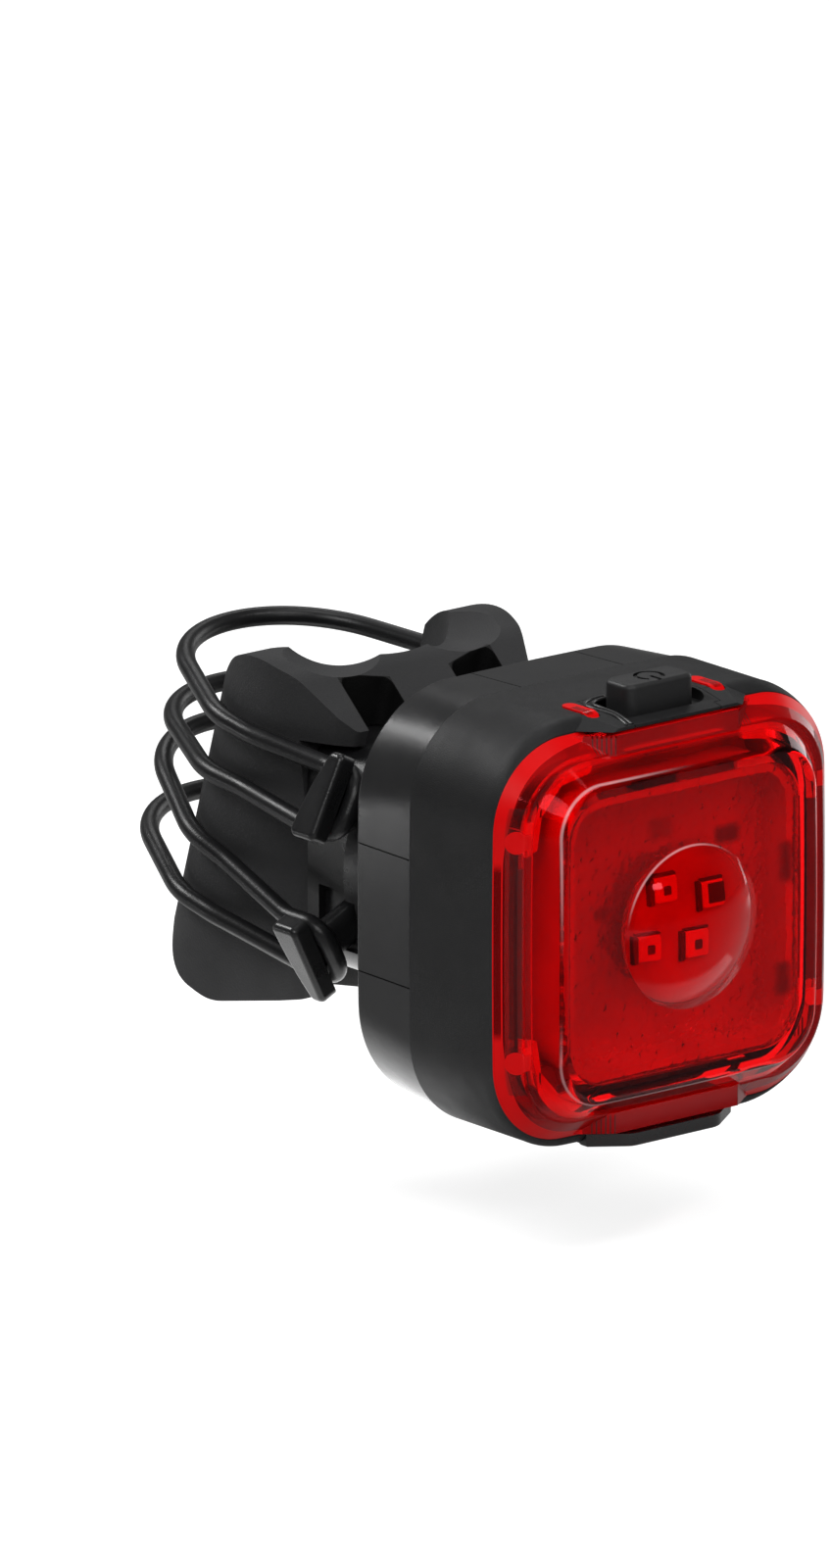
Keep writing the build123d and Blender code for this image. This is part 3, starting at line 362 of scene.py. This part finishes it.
def pin_distance(tree, y, above):
    """How far a point of the lens's edge wall is from the middle of the nearest bright pin."""
    wall_slant = 1.36
    along = maths(tree, "MULTIPLY", maths(tree, "SUBTRACT", y, pin_y), wall_slant)
    return hypotenuse(tree, along, maths(tree, "SUBTRACT", above, pin_z))


def painted_glow_mask(tree):
    """Painted glow, opaque bright red: the ring at the lens's foot, wider at the corners and dimmer in the
    middle of the sides, the pins' ends and a milky edge wall, brighter at the ends and on the right.
    """
    x, y, z = axes(tree)
    aside = apart(tree, x)
    above = apart(tree, z)
    deep = maths(tree, "SUBTRACT", lens_foot, y)

    corner = rise(tree, maths(tree, "ADD", aside, above), 33, 39)
    width = maths(tree, "ADD", maths(tree, "MULTIPLY", corner, 0.5), 0.85)
    over = maths(tree, "SUBTRACT", deep, width)
    ring = maths(tree, "MULTIPLY", rise(tree, over, 0.03, -0.03), rise(tree, deep, -0.1, -0.05))
    dark_core = maths(
        tree, "MULTIPLY", rise(tree, above, 10.5, 9), rise(tree, deep, 0.08, 0.12),
        rise(tree, over, -0.12, -0.16), rise(tree, aside, 22.5, 23), 0.8)
    ring = maths(tree, "SUBTRACT", ring, dark_core, clamp=True)

    ends = maths(tree, "MULTIPLY", rise(tree, above, 18, 20.5), 0.27)
    right = maths(tree, "MULTIPLY", rise(tree, x, 0, 20), 0.3)
    milky_glow = maths(tree, "MAXIMUM", maths(tree, "ADD", ends, 0.1), right)
    milky_glow = maths(tree, "MULTIPLY", milky_glow, rise(tree, deep, 3.6, 3))

    pins = rise(tree, pin_distance(tree, y, above), 1.34, 1.28)
    pins = maths(tree, "MULTIPLY", pins, rise(tree, aside, 20.5, 20.8))
    return outside(tree, maths(tree, "MAXIMUM", ring, milky_glow, pins))


def dark_mask(tree):
    """Shade and dark bars behind the edge wall's sides, and the fine ribs beside its raised middle."""
    x, y, z = axes(tree)
    aside = apart(tree, x)
    above = apart(tree, z)

    bar = within(tree, y, z, 0.28, 9.8, -67.42, 0, 0.12)
    bar = maths(tree, "MULTIPLY", bar, rise(tree, aside, 21, 21.2), 0.8)

    shade = within(tree, y, above, 0.7, 16.5, -66.9, 0, 0.15)
    off_pins = rise(tree, pin_distance(tree, y, above), 1.28, 1.34)
    shade = maths(tree, "MULTIPLY", shade, off_pins, rise(tree, aside, 20.7, 20.9), 0.5)

    row = maths(tree, "PINGPONG", maths(tree, "SUBTRACT", aside, 8.9), 0.21)
    beside = within(tree, aside, y, 1.2, 1.6, 9.9, -66.8)
    ribs = maths(tree, "MULTIPLY", rise(tree, row, 0.09, 0.05), beside, rise(tree, above, 20.5, 21), 0.85)
    return outside(tree, maths(tree, "MAXIMUM", bar, shade, ribs))


def painted_highlight_mask(tree):
    """Painted highlights: pale pink lines along the raised field's border and the dome's upper rim."""
    x, y, z = axes(tree)
    corner_x = past(tree, apart(tree, x), 12.7)
    corner_z = past(tree, apart(tree, z), 12.7)
    border = rise(tree, apart(tree, hypotenuse(tree, corner_x, corner_z), 5.72), 0.18, 0.03)
    upper_left = rise(tree, maths(tree, "SUBTRACT", z, x), 17, 30)
    lower = maths(tree, "MULTIPLY", rise(tree, z, -7, -16), 0.8)
    border = maths(tree, "MULTIPLY", border, maths(tree, "MAXIMUM", upper_left, lower))

    rim = rise(tree, apart(tree, hypotenuse(tree, x, z), 9.3), 0.16, 0.03)
    rim = maths(tree, "MULTIPLY", rim, rise(tree, z, 1, 6), rise(tree, x, 7, -1))

    lines = maths(tree, "MAXIMUM", border, rim)
    return outside(tree, maths(tree, "MULTIPLY", lines, rise(tree, y, -69, -69.5), 0.5))


def window_mask(tree):
    """The windows are nearly opaque, with a darker middle."""
    x, y, z = axes(tree)
    middle = within(tree, apart(tree, x), y, 0.5, 1.5, 9.25, -62.8, 0.15)
    return maths(tree, "SUBTRACT", 0.85, maths(tree, "MULTIPLY", middle, 0.6))


# Patches of painted shade on the panel from the chips behind it: middle in X and Z, half width and height,
# and how dark
panel_shade_patches = (
    (6.4, 9.2, 1.6, 0.9, 0.7),
    (-11.6, 3.0, 0.9, 0.7, 0.35),
    (-3.2, 11.5, 1.6, 1.2, 0.25),
    (15.0, 4.5, 0.8, 2.2, 0.5),
    (14.6, -9.0, 1.0, 1.8, 0.5),
)


def panel_shade_mask(tree):
    x, y, z = axes(tree)
    patches = []
    for middle_x, middle_z, half_x, half_z, darkness in panel_shade_patches:
        patch = within(tree, x, z, half_x, half_z, middle_x, middle_z, 0.6)
        patches.append(maths(tree, "MULTIPLY", patch, darkness))
    return maths(tree, "ADD", *patches)


lens_skin = red_plastic("lens_clear_red", (0.84, 0.0015, 0.003), (0.93, 0.12, 0.12), 0.02, 260, 0.01)
# The lens's ring, pin ends and edge wall: painted glow in opaque bright red
add_body(lens_skin, painted_glow_mask, (0.72, 0.002, 0.003), 0.3, 0.1)
add_body(lens_skin, dark_mask, (0.012, 0.001, 0.001), 0.3)
# Painted highlights in pale pink along the raised field's border and the dome's rim
add_body(lens_skin, painted_highlight_mask, (0.95, 0.50, 0.52), 0.3)
window_skin = red_plastic("window_clear_red", (0.55, 0.002, 0.004), (0.8, 0.05, 0.05), 0.04, 900, 0.01)
add_body(window_skin, window_mask, (0.75, 0.001, 0.002), 0.4, 0.06)
panel_skin = red_plastic("panel_orange_peel", (0.90, 0.5, 0.5), (0.95, 0.8, 0.8), 0.12, 620, 0.5)
# Painted shade: dark patches on the panel
add_body(panel_skin, panel_shade_mask, (0.05, 0.01, 0.01), 0.4)

skins["lens_clear_red"] = lens_skin
skins["window_clear_red"] = window_skin
skins["panel_orange_peel"] = panel_skin

skin_of = {
    "front_bezel": "bezel_soft_touch",
    "rear_housing": "shell_satin",
    "outer_lens": "lens_clear_red",
    "diffuser_panel": "panel_orange_peel",
    "reflector_tray": "tray_white",
    "led_board": "board_mask",
    "main_leds": "led_die_warm",
    "side_leds": "led_die_warm",
    "light_columns": "column_milky",
    "indicator_leds": "led_die_warm",
    "left_indicator_window": "window_clear_red",
    "right_indicator_window": "window_clear_red",
    "button_surround": "well_rubber",
    "power_button": "button_rubber",
    "switch_body": "chip_black",
    "switch_plunger": "chip_black",
    "main_board": "board_mask",
    "board_chips": "chip_black",
    "usb_c_port": "steel_satin",
    "board_spacers": "nylon_pale",
    "board_screws": "steel_satin",
    "battery_cell": "cell_film",
    "battery_foam": "foam_grey",
    "housing_seal": "cover_rubber",
    "port_cover": "cover_rubber",
    "twist_foot": "bracket_gloss",
    "foot_screws": "steel_satin",
    "bracket": "bracket_gloss",
    "post_pad": "pad_rubber_matt",
    "upper_band": "band_rubber_smooth",
    "lower_band": "band_rubber_smooth",
}
for name, skin_name in skin_of.items():
    data = nodes[name].data
    if not data.materials:
        data.materials.append(skins[skin_name])
    for index in range(len(data.materials)):
        data.materials[index] = skins[skin_name]


# Small pieces, drawn in millimetres
def solid_piece(name, skin, parts):
    """One object made of several parts, each a list of corners and a list of faces."""
    corners = []
    faces = []
    for part_corners, part_faces in parts:
        start = len(corners)
        corners += [tuple(mm * c for c in corner) for corner in part_corners]
        faces += [tuple(start + index for index in face) for face in part_faces]
    mesh = bpy.data.meshes.new(name)
    mesh.from_pydata(corners, [], faces)
    mesh.update()
    mesh.materials.append(skin)
    piece = bpy.data.objects.new(name, mesh)
    bpy.context.collection.objects.link(piece)
    return piece


def prism(outline, back, front, bevel=0.12):
    """A flat outline in X and Z, made solid between two depths, its front edges bevelled."""
    count = len(outline)
    middle_x = sum(x for x, z in outline) / count
    middle_z = sum(z for x, z in outline) / count
    inner = []
    for x, z in outline:
        reach = ((x - middle_x) ** 2 + (z - middle_z) ** 2) ** 0.5
        inner.append((x - bevel * (x - middle_x) / reach, z - bevel * (z - middle_z) / reach))
    corners = [(x, back, z) for x, z in outline]
    corners += [(x, front + bevel, z) for x, z in outline]
    corners += [(x, front, z) for x, z in inner]
    faces = [tuple(range(count)), tuple(reversed(range(2 * count, 3 * count)))]
    for row in (0, count):
        for i in range(count):
            j = (i + 1) % count
            faces.append((row + i, row + count + i, row + count + j, row + j))
    return corners, faces


def round_outline(x, z, radius, count=48):
    turns = [2 * pi * i / count for i in range(count)]
    return [(x + radius * cos(turn), z + radius * sin(turn)) for turn in turns]


def square_outline(x, z, half_w, half_h, corner=0.3):
    """A rectangle with rounded corners."""
    points = []
    for turn, (side_x, side_z) in enumerate(((1, 1), (-1, 1), (-1, -1), (1, -1))):
        for step in range(4):
            angle = radians(90 * turn + 30 * step)
            points.append((
                x + side_x * (half_w - corner) + corner * cos(angle),
                z + side_z * (half_h - corner) + corner * sin(angle),
            ))
    return points


def tube(points, radius, count=10):
    """A round bead along a path, closed at both ends."""
    corners = []
    faces = []
    for index, point in enumerate(points):
        after = Vector(points[min(index + 1, len(points) - 1)])
        before = Vector(points[max(index - 1, 0)])
        along = (after - before).normalized()
        side = along.cross(Vector((0, 0, 1))).normalized()
        up = side.cross(along)
        for step in range(count):
            angle = 2 * pi * step / count
            corners.append(tuple(Vector(point) + radius * (cos(angle) * side + sin(angle) * up)))
    for index in range(len(points) - 1):
        for step in range(count):
            a = index * count + step
            b = index * count + (step + 1) % count
            faces.append((a, b, b + count, a + count))
    faces.append(tuple(reversed(range(count))))
    faces.append(tuple(range(len(corners) - count, len(corners))))
    return corners, faces


def smooth_path(points, steps=8):
    """Points of a smooth curve through the given ones."""
    path = []
    for index in range(len(points) - 1):
        a = Vector(points[max(index - 1, 0)])
        b = Vector(points[index])
        c = Vector(points[index + 1])
        d = Vector(points[min(index + 2, len(points) - 1)])
        for step in range(steps):
            t = step / steps
            path.append(0.5 * (
                2 * b + (c - a) * t + (2 * a - 5 * b + 4 * c - d) * t * t + (3 * b - a - 3 * c + d) * t ** 3))
    path.append(Vector(points[-1]))
    return [tuple(point) for point in path]


def top_height(y):
    """Height of the case's top in the middle: level, then sloping down along the tab."""
    top, tab_start, slope = 24.7, -63.8, 0.2
    return top if y > tab_start else top - slope * (tab_start - y)


def led_packages():
    """The four light chips as the dome shows them: on a round carrier, each with strips of painted shade
    along its left and top edges, and a dark die.
    """
    carrier_back, carrier_front = -67.9, -68.4
    body_back, body_front = -68.38, -68.75
    edge_front, die_back, die_front = -68.7, -68.7, -68.8
    carrier = solid_piece(
        "led_carrier", skins["led_carrier"], [prism(round_outline(0, 0, 8.3), carrier_back, carrier_front)])
    places = [(-2.2, 3.9), (3.4, 2.5), (1.3, -2.1), (-4.3, -1.9)]
    bodies = [prism(square_outline(x, z, 1.35, 1.35), body_back, body_front) for x, z in places]
    shades = []
    for x, z in places:
        # Strips of painted shade along each chip's left and top edges, then its dark die
        shades.append(prism(square_outline(x - 1.62, z - 0.1, 0.26, 1.5, 0.1), body_back, edge_front))
        shades.append(prism(square_outline(x, z + 1.5, 1.4, 0.1, 0.08), body_back, edge_front))
        shades.append(prism(square_outline(x + 0.1, z - 0.1, 0.5, 0.55, 0.2), die_back, die_front))
    dark_chip = prism(square_outline(3.75, 2.6, 1.05, 1.05, 0.1), die_back, -68.82)
    body = solid_piece("led_bodies", skins["led_body"], bodies)
    shade = solid_piece("led_edge_shade_and_dies", skins["chip_black"], shades + [dark_chip])
    for piece in (carrier, body, shade):
        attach(piece, "lamp")


def panel_beads():
    """Two fine beads round the left end of the button's well and down to the lens."""
    outer = [
        (-3.4, -59.6), (-5.6, -59.8), (-7.3, -60.9), (-7.7, -63.0), (-7.0, -65.2), (-6.9, -66.6),
        (-7.2, -68.1)]
    inner = [
        (-3.4, -60.3), (-5.3, -60.5), (-6.5, -61.4), (-6.8, -63.0), (-6.4, -65.2), (-6.35, -66.6),
        (-6.5, -68.1)]
    paths = [smooth_path([(x, y, top_height(y)) for x, y in points]) for points in (outer, inner)]
    piece = solid_piece("panel_beads", skins["bead_rubber"], [tube(path, 0.2) for path in paths])
    for face in piece.data.polygons:
        face.use_smooth = True
    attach(piece, "lamp")


def lens_catches():
    """Pale catches in the four corners behind the lens's edge, each with three fine slots, drawn as thin
    near-black boxes of painted shade.
    """
    plate_back, plate_front = -65.3, -65.9
    slot_back, slot_front = -65.85, -65.98
    slot_x, slot_z, slot_step = 17.6, 15.6, 0.55
    shape = [
        (10.5, 20.0), (15.6, 19.5), (19.4, 15.8), (20.2, 10.5), (18.1, 10.9), (17.5, 14.6), (14.7, 17.5),
        (10.9, 18.0)]
    plates = []
    slots = []
    for side in (-1, 1):
        for end in (-1, 1):
            turned = [(side * x, end * z) for x, z in shape]
            if side * end > 0:
                turned = turned[::-1]
            plates.append(prism(turned, plate_back, plate_front))
            for row in range(3):
                outline = square_outline(side * (slot_x + slot_step * row), end * slot_z, 0.1, 1.1, 0.08)
                slots.append(prism(outline, slot_back, slot_front))
    # The slots are thin near-black boxes: painted shade
    catches = solid_piece("lens_catches", skins["lens_catch"], plates)
    cuts = solid_piece("lens_catch_slot_shade", skins["chip_black"], slots)
    for piece in (catches, cuts):
        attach(piece, "lamp")


led_packages()
panel_beads()
lens_catches()


# Floor and world
def seen_share(tree, glossy):
    """How far a ray sees the white background: fully for camera and transmission rays."""
    path = tree.nodes.new("ShaderNodeLightPath").outputs
    dim = maths(tree, "MULTIPLY", path["Is Glossy Ray"], glossy)
    return maths(tree, "MAXIMUM", path["Is Camera Ray"], path["Is Transmission Ray"], dim)


def studio_sheet(name, level, size):
    """A level sheet that is no part of the object."""
    mesh = bpy.data.meshes.new(name)
    corners = [(-size, -size, level), (size, -size, level), (size, size, level), (-size, size, level)]
    mesh.from_pydata(corners, [], [(0, 1, 2, 3)])
    piece = bpy.data.objects.new(name, mesh)
    bpy.context.collection.objects.link(piece)
    return piece


def floor():
    """Pale floor, as far below the part as the open port cover needs. Far away it is whiter."""
    cover_reach = 14.5 * mm
    piece = studio_sheet("studio_floor", cad_box[0][2] - cover_reach, 6)
    material, tree, shader = new_material("floor_pale")
    shader.inputs["Base Color"].default_value = (0.42, 0.42, 0.42, 1)
    shader.inputs["Roughness"].default_value = 1
    shader.inputs["Specular IOR Level"].default_value = 0
    x, y, z = axes(tree)
    far = rise(tree, hypotenuse(tree, x, y), 300, 1000)
    level = maths(tree, "ADD", maths(tree, "MULTIPLY", far, 0.2), 0.8)
    add_glow(tree, maths(tree, "MULTIPLY", seen_share(tree, 0.1), level))
    piece.data.materials.append(material)


# The fields of light_boxes: middle in X and Y, half widths, strength and softness of the border
light_fields = (
    (-90, -200, 50, 50, 2.0, 10),
    (10, -81, 30, 5, 1.2, 2),
    (160, -30, 30, 40, 1.6, 20),
    (-115, 78, 22, 12, 9.0, 6),
    (0, -20, 30, 30, 2.0, 10),
)


def light_boxes():
    """Brighter fields under the part that only glossy pieces see, like the light boxes of a studio."""
    piece = studio_sheet("studio_boxes", cad_box[0][2], 0.5)
    piece.visible_camera = False
    piece.visible_diffuse = False
    piece.visible_transmission = False
    piece.visible_volume_scatter = False
    piece.visible_shadow = False
    material, tree, shader = new_material("studio_boxes")
    clear = tree.nodes.new("ShaderNodeBsdfTransparent")
    tree.links.new(clear.outputs[0], surface_of(tree)[0])
    tree.nodes.remove(shader)
    x, y, z = axes(tree)
    fields = []
    for middle_x, middle_y, half_x, half_y, strength, soft in light_fields:
        field = within(tree, x, y, half_x, half_y, middle_x, middle_y, soft)
        fields.append(maths(tree, "MULTIPLY", field, strength))
    add_glow(tree, maths(tree, "ADD", *fields))
    piece.data.materials.append(material)


def studio_world():
    world = bpy.data.worlds.new("studio_world")
    world.use_nodes = True
    tree = world.node_tree
    tree.nodes.clear()
    output = tree.nodes.new("ShaderNodeOutputWorld")
    white = tree.nodes.new("ShaderNodeBackground")
    white.inputs["Color"].default_value = (1, 1, 1, 1)
    seen = maths(tree, "MULTIPLY", seen_share(tree, 0.05), 0.9)
    tree.links.new(maths(tree, "ADD", seen, 0.1), white.inputs["Strength"])
    tree.links.new(white.outputs[0], output.inputs["Surface"])
    bpy.context.scene.world = world


floor()
light_boxes()
studio_world()


# Light
def area_light(name, place, width, height, power):
    """A soft light that points at the middle of the part."""
    target = Vector((0, -0.03, 0))
    data = bpy.data.lights.new(name, "AREA")
    data.shape = "RECTANGLE"
    data.size = width
    data.size_y = height
    data.energy = power
    lamp = bpy.data.objects.new(name, data)
    lamp.location = place
    lamp.rotation_euler = (target - Vector(place)).to_track_quat("-Z", "Y").to_euler()
    bpy.context.collection.objects.link(lamp)


area_light("key_left", (-0.42, -0.3, 0.4), 0.26, 0.26, 1.7)
area_light("corner_box", (-0.18, 0.4, 0.38), 0.2, 0.14, 1.8)
area_light("top_soft", (0.05, -0.05, 0.6), 0.4, 0.3, 1.0)
area_light("front_fill", (0.1, -0.5, 0.55), 0.5, 0.1, 1.6)
area_light("front_spot", (-0.05, -0.62, 0.27), 0.09, 0.05, 0.35)
area_light("right_strip", (0.55, 0.05, 0.1), 0.25, 0.3, 0.6)
area_light("back_soft", (0.32, 0.4, 0.5), 0.3, 0.2, 0.6)


# Camera
def camera():
    """A long lens far away, at the photograph's angle and scale."""
    azimuth = radians(-39.3)
    elevation = radians(15.6)
    distance = 2.937
    aim = Vector((0, -0.0223, 0.0059))
    look = Vector((-sin(azimuth) * cos(elevation), cos(azimuth) * cos(elevation), -sin(elevation)))
    data = bpy.data.cameras.new("photo_camera")
    data.type = "PERSP"
    data.sensor_fit = "AUTO"
    data.sensor_width = 36.0
    data.lens = 600.0
    data.clip_start = 0.05
    data.clip_end = 30.0
    view = bpy.data.objects.new("photo_camera", data)
    view.location = aim - look * distance
    view.rotation_euler = look.to_track_quat("-Z", "Y").to_euler()
    bpy.context.collection.objects.link(view)
    bpy.context.scene.camera = view


camera()
bpy.context.scene.view_settings.view_transform = "Standard"
